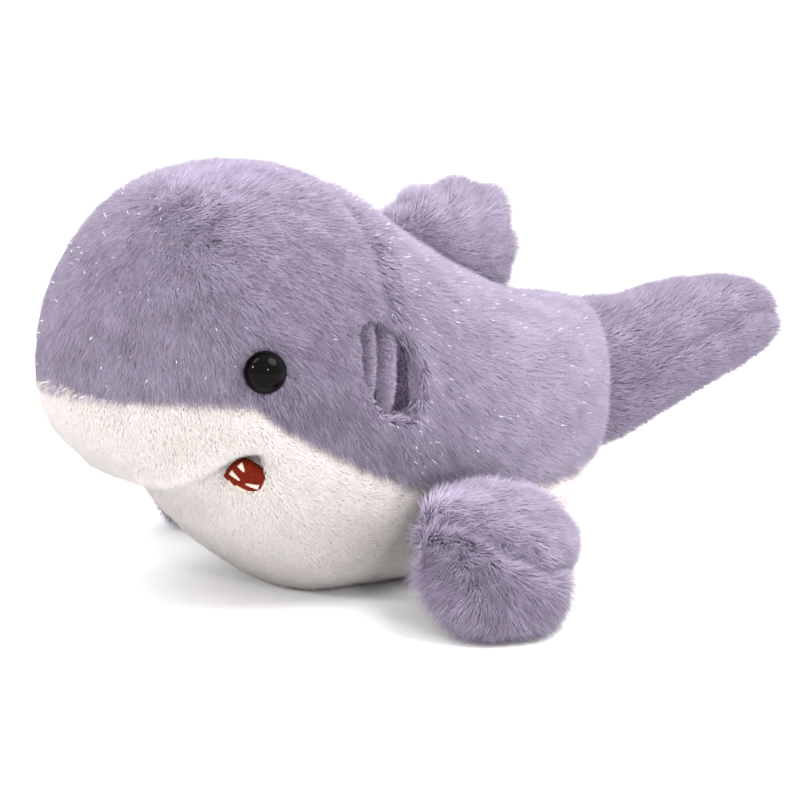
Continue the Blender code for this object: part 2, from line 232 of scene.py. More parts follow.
class Patch:
    """Part of a surface with parameters a, along it, and b, across it. inset(a, b) moves it inwards."""

    def __init__(self, spot, a_range, b_range, inset):
        self.spot = spot
        self.a_range = a_range
        self.b_range = b_range
        self.inset = inset

    def at(self, a, b, lift=0.0):
        return self.spot(a, b, self.inset(a, b) - lift)

    def frame(self, a, b):
        """Place, the direction of growing a, the direction of growing b square to it, and the normal."""
        da = (self.a_range[1] - self.a_range[0]) * 1e-3
        db = (self.b_range[1] - self.b_range[0]) * 1e-3
        a0, a1 = np.clip(a - da, *self.a_range), np.clip(a + da, *self.a_range)
        b0, b1 = np.clip(b - db, *self.b_range), np.clip(b + db, *self.b_range)
        place = self.at(a, b)
        along = unit(self.at(a1, b) - self.at(a0, b))
        across = self.at(a, b1) - self.at(a, b0)
        across = unit(across - along * np.sum(across * along, -1, keepdims=True))
        normal = np.cross(along, across)
        outwards = np.sum(normal * (self.at(a, b, 0.5) - place), -1, keepdims=True)
        return place, along, across, normal * np.where(outwards < 0, -1, 1)


trunk = Loft(TRUNK_STATIONS, ROUND)


def on_floor(points, height):
    """The trunk's flat belly: nothing of it goes under this height."""
    points[..., 2] = np.maximum(points[..., 2], height)
    return points


def upper_spot(u, t, inset):
    """t runs from -1 at the right side seam over the top, 0, to 1 at the left one."""
    seam = trunk.seam_angle(u)
    angle = (180 - (180 - seam) * np.abs(t)) * np.where(t < 0, -1, 1)
    return on_floor(trunk.point(u, angle, inset), inset)


def under_spot(u, t, inset):
    """t runs from -1 at the right side seam under the belly, 0, to 1 at the left one."""
    return on_floor(trunk.point(u, trunk.seam_angle(u) * t, inset), inset)


# ---------------------------------------------------------------- dents

GILL_Y = -61.5
GILL_HALF_WIDTH = 11.5
GILL_MIDDLE = 0.77  # of the way from the top seam to the side seam
GILL_REACH = 0.115  # half the opening's height, of the same way
GILL_FLOOR = 12.5  # depth
GILL_LIP = 1.5  # how much deeper than the gill piece the skin round it goes
EYE_Y, EYE_Z = -103, 73
EYE_SINK = 3.0
MOUTH_FRONT_Y = -116
MOUTH_CORNER_Y = -94
MOUTH_Y = -105.0
MOUTH_T = 0.585  # of the way from the middle of the belly to the side seam
MOUTH_HALF_LENGTH = 6.5
MOUTH_HALF_HEIGHT = 5.5
MOUTH_WAY = (0.458, 0.822, 0.337)  # from its front end to its rear end
MOUTH_SINK = 1.6


def step(x):
    x = np.clip(x, 0, 1)
    return x * x * (3 - 2 * x)


def hump(x, middle, width):
    """1 where x is at the middle, and smoothly less on both sides."""
    return np.exp(-(((x - middle) / width) ** 2))


def mirrored(points):
    """The same points, with those of the right side moved to the left side."""
    return np.stack([np.abs(points[..., 0]), points[..., 1], points[..., 2]], -1)


def gill_reach(t):
    """Half the gill opening's width at t, as a share of its widest."""
    off = np.abs((np.abs(t) - GILL_MIDDLE) / GILL_REACH)
    return np.clip(1 - off**3.2, 0, 1) ** 0.55


def gill_depth(u, t):
    """1 well inside the gill opening, 0 outside it."""
    half = GILL_HALF_WIDTH * gill_reach(t)
    off = np.abs(trunk.station(u)[..., 0] - GILL_Y)
    return step((half - off) / 2.2) * (half > 0.5)


def eye_gap(points):
    """Distance to the nearer eye's middle."""
    return np.linalg.norm(mirrored(points) - EYE_SEAT, axis=-1)


def eye_place(side):
    """The middle of an eye's back and the direction it looks in."""
    u = trunk.at(EYE_Y)
    _, _, _, high, wide, _ = trunk.station(u)
    angle = 90 + math.degrees(math.asin(((EYE_Z - wide) / (high - wide)) ** (1 / trunk.fullness)))
    seat = trunk.point(u, angle, EYE_SINK)
    out = trunk.normal(u, angle)
    return seat * [side, 1, 1], out * [side, 1, 1]


EYE_SEAT = eye_place(1)[0]


def face(y):
    """1 on the front of the head, where the pile lies flat, and 0 further back."""
    return step((-102 - y) / 24)


def cover(u):
    """How deep the lavender skin lies under its pile."""
    return PILE * (1 - FACE_SHORTER * face(trunk.station(u)[..., 0]))


def upper_inset(u, t):
    """Deeper round the eyes, in the gills and in the seam at the neck, with a swelling behind the seam."""
    bare = upper_spot(u, t, np.zeros(np.shape(u)))
    hollow = 1.6 * hump(eye_gap(bare), 0, 7.5)
    gills = gill_depth(u, t)
    behind = trunk.station(u)[..., 0] - GILL_Y
    crease = 1.7 * hump(behind, 0, 2.4) - 1.1 * hump(behind, 9, 7)
    deep = cover(u)
    return deep + (GILL_FLOOR + GILL_LIP - deep) * gills + crease * (1 - gills) + hollow


def mouth_y(t):
    """Where the fold under the muzzle runs."""
    return MOUTH_FRONT_Y + (MOUTH_CORNER_Y - MOUTH_FRONT_Y) * t**2


def under_inset(u, t):
    """A groove with a full lip in front of it, fading out towards the side seams, where the white skin goes in
    as deep as the lavender one."""
    share = np.abs(t)
    off = trunk.station(u)[..., 0] - mouth_y(t)
    fold = hump(off, 1, 3.2) * step((0.86 - share) / 0.2)
    lip = hump(off, -6.5, 5) * step((0.84 - share) / 0.3)
    lip = lip * (0.3 + 0.7 * step(share / 0.5))
    edge = (cover(u) + 0.2 - WHITE_PILE) * step((share - 0.90) / 0.10)
    return WHITE_PILE + 6.0 * fold - 3.4 * lip + edge


def mouth_outline(share):
    """Half the mouth patch's height, from its pointed front end, 0, to its round rear end, 1."""
    return MOUTH_HALF_HEIGHT * np.sin(math.pi * share**1.3) ** 0.7


def mouth_place(side):
    """The middle of a mouth patch and its axes as rows."""
    u = np.array(trunk.at(MOUTH_Y))
    angle = trunk.seam_angle(u) * MOUTH_T
    normal = trunk.normal(u, angle)
    long_way = square_to(normal, np.array(MOUTH_WAY))
    mirror = np.array([side, 1, 1])
    rows = np.array([long_way * mirror, np.cross(normal, long_way) * mirror * side, normal * mirror])
    return trunk.point(u, angle, MOUTH_SINK) * mirror, rows


def over_mouth(points):
    """How far points are inside the outline of the mouth patch on their side; negative outside."""
    origin, rows = mouth_place(1)
    local = (mirrored(points) - origin) @ rows.T
    share = np.clip(local[..., 0] / MOUTH_HALF_LENGTH / 2 + 0.5, 0, 1)
    inside = MOUTH_HALF_LENGTH - np.abs(local[..., 0])
    return np.minimum(mouth_outline(share) - np.abs(local[..., 1]), inside)


upper = Patch(upper_spot, (0.0, float(trunk.last)), (-1, 1), upper_inset)
under = Patch(under_spot, (0.0, float(trunk.last)), (-1, 1), under_inset)


def fin_patch(loft, turn, origin, dents):
    """A fin's whole surface. turn has the fin's own x, y and z axes as rows; dents(place) goes on top of the
    pile's depth."""

    def spot(u, angle, depth):
        return loft.point(u, angle, depth) @ turn + origin

    def depth_at(u, angle):
        return FIN_PILE + dents(loft.bare(u, angle))

    return Patch(spot, (0.0, float(loft.last)), (0.0, 360.0), depth_at)


front = np.array(DORSAL_FRONT, float)
slope = unit(np.array(DORSAL_REAR, float) - front)
dorsal_turn = np.array([[1, 0, 0], slope, np.cross([1, 0, 0], slope)])


def dorsal_pleats(place):
    """The gathered cloth fans out from the fin's foot."""
    fan = np.degrees(np.arctan2(place[..., 2] + 12, place[..., 1] - 30))
    return 0.9 * np.sin(np.radians(fan) * 13) * step(place[..., 2] / 12)


def tail_crease(place):
    """The crease between the tail's two lobes, on both sides and round the tip."""
    line = np.interp(place[..., 1], TAIL_CREASE_Y, TAIL_CREASE_Z)
    off = place[..., 2] - line
    deep = step((place[..., 1] - 52) / 25)
    return deep * (3.0 * hump(off, -1.0, 2.6) - 1.2 * hump(off, 7, 6))


pectoral_loft = Loft(PECTORAL_STATIONS, ROUND)


def past_crease(local):
    """How far a place on a flipper is past the crease across its top."""
    return local[..., 2] - np.interp(local[..., 1], PECTORAL_CREASE_Y, PECTORAL_CREASE_Z)


def pectoral_crease(place):
    """The crease across a flipper's top, with a swelling beside it."""
    off = past_crease(place)
    top = step((place[..., 0] + 1) / 4)
    return top * (3.4 * hump(off, 0, 3.0) - 1.2 * hump(off, -9, 6))


dorsal = fin_patch(Loft(DORSAL_STATIONS, FIN_ROUND), dorsal_turn, front, dorsal_pleats)
tail = fin_patch(Loft(TAIL_STATIONS, FIN_ROUND), np.eye(3), np.zeros(3), tail_crease)


def pectoral_patch(side):
    droop = math.radians(PECTORAL_DROOP)
    out = [side * math.cos(droop), -math.tan(math.radians(PECTORAL_SWEEP)), -math.sin(droop)]
    thick = [side * math.sin(droop), 0, math.cos(droop)]
    turn = np.array([thick, [0, 1, 0], out])
    root = np.array(PECTORAL_ROOT) * [side, 1, 1]
    return fin_patch(pectoral_loft, turn, root, pectoral_crease)


# ---------------------------------------------------------------- materials


def shader_of(made):
    return made.node_tree.nodes["Principled BSDF"]


def new_material(name, colour, roughness):
    made = bpy.data.materials.new(name)
    made.use_nodes = True
    shader = shader_of(made)
    shader.inputs["Base Color"].default_value = (*colour, 1)
    shader.inputs["Roughness"].default_value = roughness
    return made


def linear(red, green, blue):
    """A colour given as it shows on a screen, 0 to 255, in the numbers a shader takes."""
    parts = (red / 255, green / 255, blue / 255)
    return tuple(c / 12.92 if c <= 0.04045 else ((c + 0.055) / 1.055) ** 2.4 for c in parts)


def shades(name, dark, light, count, roughness, sheen):
    """Materials from dark to light for the hairs of one cloth."""
    made = []
    for k in range(count):
        share = k / (count - 1)
        colour = [a + (b - a) * share for a, b in zip(linear(*dark), linear(*light))]
        hair = new_material(f"{name}_{k}", colour, roughness)
        shader = shader_of(hair)
        shader.inputs["Specular IOR Level"].default_value = 0.35
        shader.inputs["Sheen Weight"].default_value = sheen
        shader.inputs["Sheen Roughness"].default_value = 0.5
        shader.inputs["Sheen Tint"].default_value = (*linear(*light), 1)
        made.append(hair)
    return made


def patterned(
    name, dark, light, roughness, scale, stretch=(1, 1, 1), bump=0.3, height=0.2, detail=5, soft=0.2
):
    """Two close tones in fine grain, with a bump. soft is half the width of the step between the tones."""
    made = new_material(name, linear(*light), roughness)
    nodes, links = made.node_tree.nodes, made.node_tree.links
    place = nodes.new("ShaderNodeTexCoord")
    turn = nodes.new("ShaderNodeMapping")
    turn.inputs["Scale"].default_value = stretch
    grain = nodes.new("ShaderNodeTexNoise")
    grain.inputs["Scale"].default_value = scale
    grain.inputs["Detail"].default_value = detail
    ramp = nodes.new("ShaderNodeValToRGB")
    for stop, position, tone in zip(ramp.color_ramp.elements, (0.5 - soft, 0.5 + soft), (dark, light)):
        stop.position = position
        stop.color = (*linear(*tone), 1)
    raised = nodes.new("ShaderNodeBump")
    raised.inputs["Strength"].default_value = bump
    raised.inputs["Distance"].default_value = height * MM
    shader = shader_of(made)
    links.new(place.outputs["Object"], turn.inputs["Vector"])
    links.new(turn.outputs["Vector"], grain.inputs["Vector"])
    links.new(grain.outputs["Fac"], ramp.inputs["Fac"])
    links.new(ramp.outputs["Color"], shader.inputs["Base Color"])
    links.new(grain.outputs["Fac"], raised.inputs["Height"])
    links.new(raised.outputs["Normal"], shader.inputs["Normal"])
    return made


def backing(name, dark, light, scale):
    """The knitted backing under a pile."""
    return patterned(name, dark, light, 0.95, scale, bump=0.5, height=0.5, detail=6, soft=0.15)


lavender_backing = backing("lavender_backing", (112, 98, 124), (146, 132, 160), 900)
# The gill cloth is much darker than the lavender backing, a painted shade in the slits and the recess.
gill_cloth_painted_shade = backing("gill_cloth_painted_shade", (58, 48, 64), (104, 90, 112), 1400)
white_backing = backing("white_backing", (236, 222, 216), (250, 242, 238), 900)
lavender_hair = shades("lavender_hair", (122, 109, 133), (204, 193, 215), 7, 0.7, 0.35)
white_hair = shades("white_hair", (250, 239, 235), (255, 251, 249), 4, 0.8, 0.5)
# The gill nap takes only the five darker lavender tones, a painted shade in the recess.
gill_hair_painted_shade = lavender_hair[:5]
eye_plastic = patterned("eye_plastic", (4, 3, 3), (9, 7, 6), 0.04, 60, bump=0.0)
shader_of(eye_plastic).inputs["Specular IOR Level"].default_value = 0.07
washer_plastic = patterned("washer_plastic", (196, 196, 190), (222, 222, 216), 0.4, 300)
red_felt = patterned(
    "red_felt", (74, 14, 4), (122, 32, 9), 0.9, 1500, stretch=(1, 3, 1), bump=0.6, height=0.4
)
shader_of(red_felt).inputs["Specular IOR Level"].default_value = 0.1
tooth_thread = patterned(
    "tooth_thread", (190, 172, 155), (228, 212, 198), 0.7, 2200, stretch=(1, 4, 1), bump=0.6
)
# Tinsel thread that glows through emission, a painted glint.
glitter_painted_glint = new_material("glitter_hair_painted_glint", linear(255, 250, 255), 0.2)
shader_of(glitter_painted_glint).inputs["Emission Color"].default_value = (1, 0.97, 1, 1)
shader_of(glitter_painted_glint).inputs["Emission Strength"].default_value = 0.5


# ---------------------------------------------------------------- meshes


def mesh_piece(name, points, faces, materials, slots=None):
    """A mesh from points in millimetres and faces that all have the same number of corners."""
    points = np.asarray(points, np.float32) * np.float32(MM)
    faces = np.asarray(faces, np.int32)
    mesh = bpy.data.meshes.new(name)
    mesh.vertices.add(len(points))
    mesh.vertices.foreach_set("co", points.ravel())
    mesh.loops.add(faces.size)
    mesh.loops.foreach_set("vertex_index", faces.ravel())
    mesh.polygons.add(len(faces))
    starts = np.arange(0, faces.size, faces.shape[1], dtype=np.int32)
    mesh.polygons.foreach_set("loop_start", starts)
    for look in materials:
        mesh.materials.append(look)
    if slots is not None:
        mesh.polygons.foreach_set("material_index", np.asarray(slots, np.int32))
    mesh.polygons.foreach_set("use_smooth", np.full(len(faces), True))
    mesh.update(calc_edges=True)
    mesh.validate()
    made = bpy.data.objects.new(name, mesh)
    bpy.context.scene.collection.objects.link(made)
    return made


def grid_shell(name, outer, inner, materials):
    """A closed sheet between two grids of points, shaped (rows, columns, 3)."""
    return joined_shells(name, [(outer, inner)], materials)


def joined_shells(name, shells, materials):
    """Several closed sheets, each between two grids of points, as one piece."""
    points, faces, count = [], [], 0
    for outer, inner in shells:
        rows, columns = outer.shape[:2]
        index = np.arange(rows * columns).reshape(rows, columns)
        quads = np.stack([index[:-1, :-1], index[1:, :-1], index[1:, 1:], index[:-1, 1:]], -1)
        quads = quads.reshape(-1, 4)
        rim = np.concatenate([index[0], index[1:, -1], index[-1, -2::-1], index[-2:0:-1, 0]])
        after = np.roll(rim, -1)
        sides = np.stack([rim, after, after + rows * columns, rim + rows * columns], -1)
        faces.append(np.concatenate([quads, quads[:, ::-1] + rows * columns, sides]) + count)
        points += [outer.reshape(-1, 3), inner.reshape(-1, 3)]
        count += 2 * rows * columns
    made = mesh_piece(name, np.concatenate(points), np.concatenate(faces), materials)
    fix_normals(made)
    return made


def closed_loft(name, points, materials):
    """A closed skin from rings of points, shaped (rings, around, 3), with an even number around."""
    rings, around = points.shape[:2]
    index = np.arange(rings * around).reshape(rings, around)
    ahead = np.roll(index, -1, axis=1)
    quads = np.stack([index[:-1], ahead[:-1], ahead[1:], index[1:]], -1).reshape(-1, 4)
    ends = []
    flat = points.reshape(-1, 3)
    tips = np.stack([points[0].mean(0), points[-1].mean(0)])
    first, last = len(flat), len(flat) + 1
    for k in range(0, around, 2):
        n, m = (k + 1) % around, (k + 2) % around
        ends.append((first, index[0, m], index[0, n], index[0, k]))
        ends.append((last, index[-1, k], index[-1, n], index[-1, m]))
    made = mesh_piece(name, np.concatenate([flat, tips]), np.concatenate([quads, ends]), materials)
    fix_normals(made)
    return made


def fix_normals(made):
    work = bmesh.new()
    work.from_mesh(made.data)
    bmesh.ops.recalc_face_normals(work, faces=work.faces)
    work.to_mesh(made.data)
    work.free()


# ---------------------------------------------------------------- hair


FALL = np.array([0, 0.35, -1])  # the way that hair falls on the face: down and a little back
FLOOR_GAP = 0.3
CELLS = (150, 200)  # that a patch is divided into, to spread hairs by area
TONES = 7  # a pile's tones run from 0, the darkest, to this
MIDDLE_TONE = 3.4
# CHEEK is the middle of the painted shade on the cheeks.
CHEEK = (56, -84, 66)
SHOULDER = (58, -36, 38)


def scatter(patch, count, keep):
    """Parameters of count places spread over a patch's area, as densely as keep(a, b) says."""
    a_edges = np.linspace(*patch.a_range, CELLS[0] + 1)
    b_edges = np.linspace(*patch.b_range, CELLS[1] + 1)
    a, b = np.meshgrid(a_edges, b_edges, indexing="ij")
    grid = patch.at(a, b)
    one, two = grid[1:, 1:] - grid[:-1, :-1], grid[1:, :-1] - grid[:-1, 1:]
    area = np.linalg.norm(np.cross(one, two), axis=-1) / 2
    middle_a, middle_b = (a[1:, 1:] + a[:-1, :-1]) / 2, (b[1:, 1:] + b[:-1, :-1]) / 2
    area = area * keep(middle_a, middle_b)
    total = np.cumsum(area.ravel())
    picks = (np.arange(count) + random.random(count)) / count * total[-1]
    cell = np.minimum(np.searchsorted(total, picks), area.size - 1)
    row, column = np.unravel_index(cell, area.shape)
    a_at = a_edges[row] + random.random(count) * (a_edges[1] - a_edges[0])
    b_at = b_edges[column] + random.random(count) * (b_edges[1] - b_edges[0])
    return a_at, b_at


def waves(points, size, seed):
    """Smooth noise from -1 to 1 by place, with features of about this size."""
    local = np.random.default_rng(seed)
    total = np.zeros(points.shape[:-1])
    for _ in range(9):
        direction = unit(local.normal(size=3))
        pace = local.uniform(0.6, 1.5) * 2 * math.pi / size
        total += np.sin(points @ direction * pace + local.uniform(0, 2 * math.pi))
    return np.clip(total / 4.2, -1, 1)


def hairs(name, roots, heading, normal, length, rise, width, tone, materials):
    """Closed three-sided hairs that stay over the floor. heading lies along the surface, rise is the tip's
    height over the root, and tone picks the material."""
    rise = np.minimum(rise, length * 0.98)
    flat = np.sqrt(length**2 - rise**2)
    tips = roots + heading * flat[:, None] + normal * rise[:, None]
    tips[:, 2] = np.maximum(tips[:, 2], FLOOR_GAP)
    axis = unit(tips - roots)
    some = unit(np.cross(axis, random.normal(size=axis.shape)))
    other = np.cross(axis, some)
    corners = []
    for k in range(3):
        turn = 2 * math.pi * k / 3
        sideways = some * math.cos(turn) + other * math.sin(turn)
        corners.append(roots + sideways * (width / 2)[:, None])
    points = np.stack([*corners, tips], axis=1).reshape(-1, 3)
    base = 4 * np.arange(len(roots))[:, None]
    pattern = np.array([[0, 1, 3], [1, 2, 3], [2, 0, 3], [0, 2, 1]])
    faces = (base[:, :, None] + pattern[None]).reshape(-1, 3)
    slots = np.repeat(np.clip(tone, 0, len(materials) - 1).astype(int), 4)
    return mesh_piece(name, points, faces, materials, slots)


def nothing(a, b, place):
    return 0 * a


def whole(a, b, place):
    return 1 + 0 * a


def everywhere(a, b):
    return 1 + 0 * a


def pile(
    name, patch, count, flow, hair, look, keep=everywhere, seed=0, trim=whole, flat=nothing,
    hang=nothing, shift=nothing, spread=1.1, clump=CLUMPS,
):
    """Hairs over a patch, each rule a function of (a, b, place).

    flow gives how far they lean along a and along b, hang how much they fall by their weight instead, trim
    their size, flat how far they are pressed down, and shift how much lighter they are, a painted light and
    shade. keep(a, b) is how densely they stand, spread how much their tones differ and clump how far they lean
    together.
    """
    length, height, width = hair
    a, b = scatter(patch, count, keep)
    place, along, across, normal = patch.frame(a, b)
    lean_a, lean_b = flow(a, b, place)
    heading = along * lean_a[:, None] + across * lean_b[:, None]
    hanging = hang(a, b, place)[:, None]
    fall = FALL - normal * (normal @ FALL)[:, None]
    heading = heading * (1 - 0.9 * hanging) + fall * hanging
    stray_a = STRAY * random.normal(size=count) + clump * waves(place, 9, seed + 1)
    stray_b = STRAY * random.normal(size=count) + clump * waves(place, 9, seed + 2)
    heading = unit(heading + along * stray_a[:, None] + across * stray_b[:, None])
    size = random.uniform(0.82, 1.08, count)
    tall = height * (1 + 0.16 * waves(place, 7, seed + 3)) * random.uniform(0.75, 1.12, count)
    short = random.random(count) < UNDERFUR
    size, tall = np.where(short, 0.62 * size, size), np.where(short, 0.7 * tall, tall)
    wide = width * random.uniform(0.7, 1.3, count) * np.where(short, 1.7, 1.0)
    trimmed = trim(a, b, place)
    size, tall = size * trimmed, tall * trimmed
    tall = tall * (1 - flat(a, b, place))
    tone = MIDDLE_TONE + spread * random.normal(size=count) + 0.8 * waves(place, 14, seed + 4)
    # The last term is a painted light and shade, lighter or darker by place.
    tone = tone + 0.5 * waves(place, 4, seed + 5) + shift(a, b, place)
    tone = tone * len(look) / TONES
    return hairs(name, place, heading, normal, size * length, tall, wide, tone, look)


def upper_flow(u, t, place):
    """Back from the nose and down from the top seam, parting round each eye."""
    y = place[:, 1]
    behind, before = step((y + 50) / 30), step((-108 - y) / 18)
    down = 1.05 * (1 - 0.45 * behind) + 0.2 * before
    back = 0.75 + 0.25 * behind - 0.5 * before
    from_eye = mirrored(place) - EYE_SEAT
    near = 1.5 * hump(np.linalg.norm(from_eye, axis=1), 0, 12)
    back = back + near * from_eye[:, 1] / 8
    down = down - near * from_eye[:, 2] / 8
    return back, down * np.where(t < 0, -1.0, 1.0) * step(np.abs(t) / 0.22)


def upper_keep(u, t):
    """None under the eyes or in the gills."""
    bare = upper_spot(u, t, np.zeros(np.shape(u)))
    return (eye_gap(bare) > 6.0) * (gill_depth(u, t) < 0.12)


def upper_trim(u, t, place):
    """Shorter round the eyes, at the nose and just in front of the gills, which it leaves open, and longer
    where the flank hangs over the flipper."""
    eyes = 0.5 + 0.5 * step((eye_gap(place) - 5.5) / 7)
    before = GILL_Y - GILL_HALF_WIDTH * gill_reach(t) - place[:, 1]
    gills = np.where((gill_reach(t) > 0) & (before > -2), 0.45 + 0.55 * step(before / 7), 1.0)
    nose = 0.85 + 0.15 * step((place[:, 1] + 138) / 30)
    shoulder = np.linalg.norm((mirrored(place) - SHOULDER) * [1, 0.6, 1.2], axis=1)
    return eyes * gills * nose * (1 + 0.6 * hump(shoulder, 0, 12))


def upper_flat(u, t, place):
    return FACE_FLATTER * face(place[:, 1])


def face_hang(u, t, place):
    """On the head's front, all the hair falls one way, on both sides of the top seam."""
    return step((-88 - place[:, 1]) / 30)


def upper_painted_shading(u, t, place):
    """Painted shade and light: darker on the cheeks, and lighter on the face and over the back."""
    y = place[:, 1]
    cheek = hump(np.linalg.norm(mirrored(place) - CHEEK, axis=1), 0, 26)
    return 0.8 * step((y - GILL_Y) / 14) - 1.3 * cheek + 0.5 * step((-98 - y) / 22)


def under_flow(u, t, place):
    """Back from the nose and up towards the side seams."""
    return 1.0 + 0 * u, 0.5 * t * step((0.97 - np.abs(t)) / 0.15)


def under_trim(u, t, place):
    """Shorter at the side seams, where the white skin goes in."""
    return 1 - 0.45 * step((np.abs(t) - 0.93) / 0.07)


def under_keep(u, t):
    """Few on the floor and none on the mouth patches."""
    bare = under_spot(u, t, np.zeros(np.shape(u)))
    return np.where(bare[..., 2] < 0.6, 0.25, 1.0) * (over_mouth(bare) < -0.3)


def fin_flow(back, out):
    """Towards the tip by back, and up both sides by out."""

    def flow(u, angle, place):
        return back + 0 * u, out * np.sin(np.radians(angle))

    return flow


def tail_painted_shade(u, angle, place):
    """Painted shade: darker all over, and darker still below."""
    return -0.5 - 0.8 * step((70 - place[:, 2]) / 16)


def pectoral_flow(u, angle, place):
    """Out to the tip; past the crease the pile points straight out and hangs over the edge."""
    past = step(past_crease(pectoral_loft.bare(u, angle)) / 5) * step((235 - angle) / 25)
    out = np.sin(np.radians(angle))
    return 0.4 * (1 - past), 0.9 * out * (1 - past) + 1.1 * past


def pectoral_painted_shading(u, angle, place):
    """Painted light and shade: darkest in the crease, darker past it, out towards the drooping tip, and a
    little lighter before it.
    """
    off = past_crease(pectoral_loft.bare(u, angle))
    return 0.4 - 1.2 * step(off / 6) - 1.9 * hump(off, 0, 3.2)


def pectoral_trim(u, angle, place):
    """Long and ragged past the crease."""
    return 1 + 0.3 * step(past_crease(pectoral_loft.bare(u, angle)) / 6)


def skin_grid(patch, a_values, b_values, thickness=1.2):
    """The outer and inner points of a skin."""
    a, b = np.meshgrid(a_values, b_values, indexing="ij")
    return patch.at(a, b), patch.at(a, b, -thickness)


def ring_skin(name, patch, rings, around, look):
    """A fin's skin, from just past its foot to just short of its tip, where the rings would be points."""
    share = (1 - np.cos(np.linspace(0, math.pi, rings))) / 2
    a_values = 0.02 + (patch.a_range[1] - 0.04) * share
    a, b = np.meshgrid(a_values, np.linspace(0, 360, around, endpoint=False), indexing="ij")
    return closed_loft(name, patch.at(a, b), [look])


# ---------------------------------------------------------------- the shark

# Closer together round the neck and the gills.
y_marks = np.unique(
    np.concatenate([np.linspace(-142.4, -70, 50), np.linspace(-72, -45, 46), np.linspace(-45, 58.9, 60)])
)
u_marks = trunk.at(y_marks)
top_grid = skin_grid(upper, u_marks, np.linspace(-1, 1, 121))
under_grid = skin_grid(under, u_marks, np.linspace(-1, 1, 81))
body_top = grid_shell("body_top", *top_grid, [lavender_backing])
body_under = grid_shell("body_under", *under_grid, [white_backing])
for piece, material_slot in ((body_top, "lavender_plush"), (body_under, "white_plush")):
    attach(piece, "body")
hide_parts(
    "head_panel_left", "head_panel_right", "back_panel_left", "back_panel_right", "body_stuffing"
)
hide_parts("muzzle_panel", "belly_panel")

# Word, first and last y, how many pieces, how much the tones differ.
UPPER_PARTS = (("head", -143, -62, 4, 2.0), ("back", -62, 59, 3, 1.1))
UNDER_PARTS = 4
for word, y_start, y_end, parts, spread in UPPER_PARTS:
    u_range = (float(trunk.at(y_start)), float(trunk.at(y_end)))
    part = Patch(upper_spot, u_range, (-1, 1), upper_inset)
    for k in range(parts):
        fur = pile(
            f"{word}_pile_{k + 1}", part, BODY_HAIRS, upper_flow, BODY_HAIR, lavender_hair, keep=upper_keep,
            seed=10, trim=upper_trim, flat=upper_flat, hang=face_hang, shift=upper_painted_shading, spread=spread,
        )
        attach(fur, "body")
for k in range(UNDER_PARTS):
    fur = pile(
        f"under_pile_{k + 1}", under, BODY_HAIRS, under_flow, BELLY_HAIR, white_hair, keep=under_keep,
        seed=40, trim=under_trim, hang=face_hang, spread=0.8,
    )
    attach(fur, "body")

dorsal_skin = ring_skin("dorsal_fin", dorsal, 26, 40, lavender_backing)
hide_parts("dorsal_fin_left", "dorsal_fin_right", "dorsal_fin_stuffing")
dorsal_pile = pile(
    "dorsal_fin_pile", dorsal, DORSAL_HAIRS, fin_flow(0.6, 0.8), FIN_HAIR, lavender_hair[:6], seed=60
)
for piece in (dorsal_skin, dorsal_pile):
    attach(piece, "dorsal_fin")

tail_skin = ring_skin("tail_fin", tail, 44, 48, lavender_backing)
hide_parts("tail_fin_left", "tail_fin_right", "tail_fin_stuffing")
# The tail's pile takes the six darker tones and a painted shade, darker all over and most below.
tail_pile = pile(
    "tail_fin_pile", tail, TAIL_HAIRS, fin_flow(1.0, 0.1), FIN_HAIR, lavender_hair[:6], seed=70,
    shift=tail_painted_shade,
)
for piece in (tail_skin, tail_pile):
    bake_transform(piece)

for word, side in (("left", 1), ("right", -1)):
    body = f"pectoral_fin_{word}"
    patch = pectoral_patch(side)
    skin = ring_skin(body, patch, 30, 44, lavender_backing)
    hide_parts(f"{body}_top", f"{body}_bottom", f"{body}_stuffing")
    fur = pile(
        f"{body}_pile", patch, PECTORAL_HAIRS, pectoral_flow, PECTORAL_HAIR, lavender_hair, seed=80,
        trim=pectoral_trim, shift=pectoral_painted_shading, spread=1.4, clump=0.6,
    )
    for piece in (skin, fur):
        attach(piece, body)


# ---------------------------------------------------------------- gills


def gill_fold(across, middle, half):
    """The rounded section of a fold."""
    return np.clip(1 - ((across - middle) / half) ** 2, 0, 1) ** 0.6


def gill_inset(across, up):
    """Two leaning folds between dark slits, then a wall that slopes up to the back panel's edge."""
    lean = across + 0.12 * up
    folds = 8.0 * gill_fold(lean, -0.50, 0.20) + 8.5 * gill_fold(lean, 0.02, 0.27)
    ribs = 0.3 * np.sin(up * 38) * gill_fold(lean, 0.02, 0.30)
    wall = 7.0 * step((across - 0.36) / 0.62)
    return GILL_FLOOR - (folds + ribs + wall) * (1 - 0.45 * up**4)


def gill_keep(across, up):
    """No nap down in the slits."""
    return gill_inset(across, up) < 0.62 * GILL_FLOOR


def gill_patch(side):
    def spot(across, up, inset):
        u = trunk.at(GILL_Y + (GILL_HALF_WIDTH + 0.6) * across)
        return upper_spot(u, side * (GILL_MIDDLE + GILL_REACH * up), inset)

    return Patch(spot, (-1.0, 1.0), (-1.0, 1.0), gill_inset)


def gill_flow(across, up, place):
    return 0.8 + 0 * across, 0.15 + 0 * up


for word, side in (("left", 1), ("right", -1)):
    patch = gill_patch(side)
    grid = skin_grid(patch, np.linspace(-1, 1, 73), np.linspace(-1, 1, 61), 1.0)
    gills = grid_shell(f"gill_folds_{word}", *grid, [gill_cloth_painted_shade])
    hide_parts(f"gill_panel_{word}")
    nap = pile(
        f"gill_nap_{word}", patch, NAP_HAIRS, gill_flow, NAP_HAIR, gill_hair_painted_shade, keep=gill_keep, seed=90
    )
    for piece in (gills, nap):
        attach(piece, "body")


# ---------------------------------------------------------------- tinsel


TINSEL_LIFT = 3.0  # over the skin


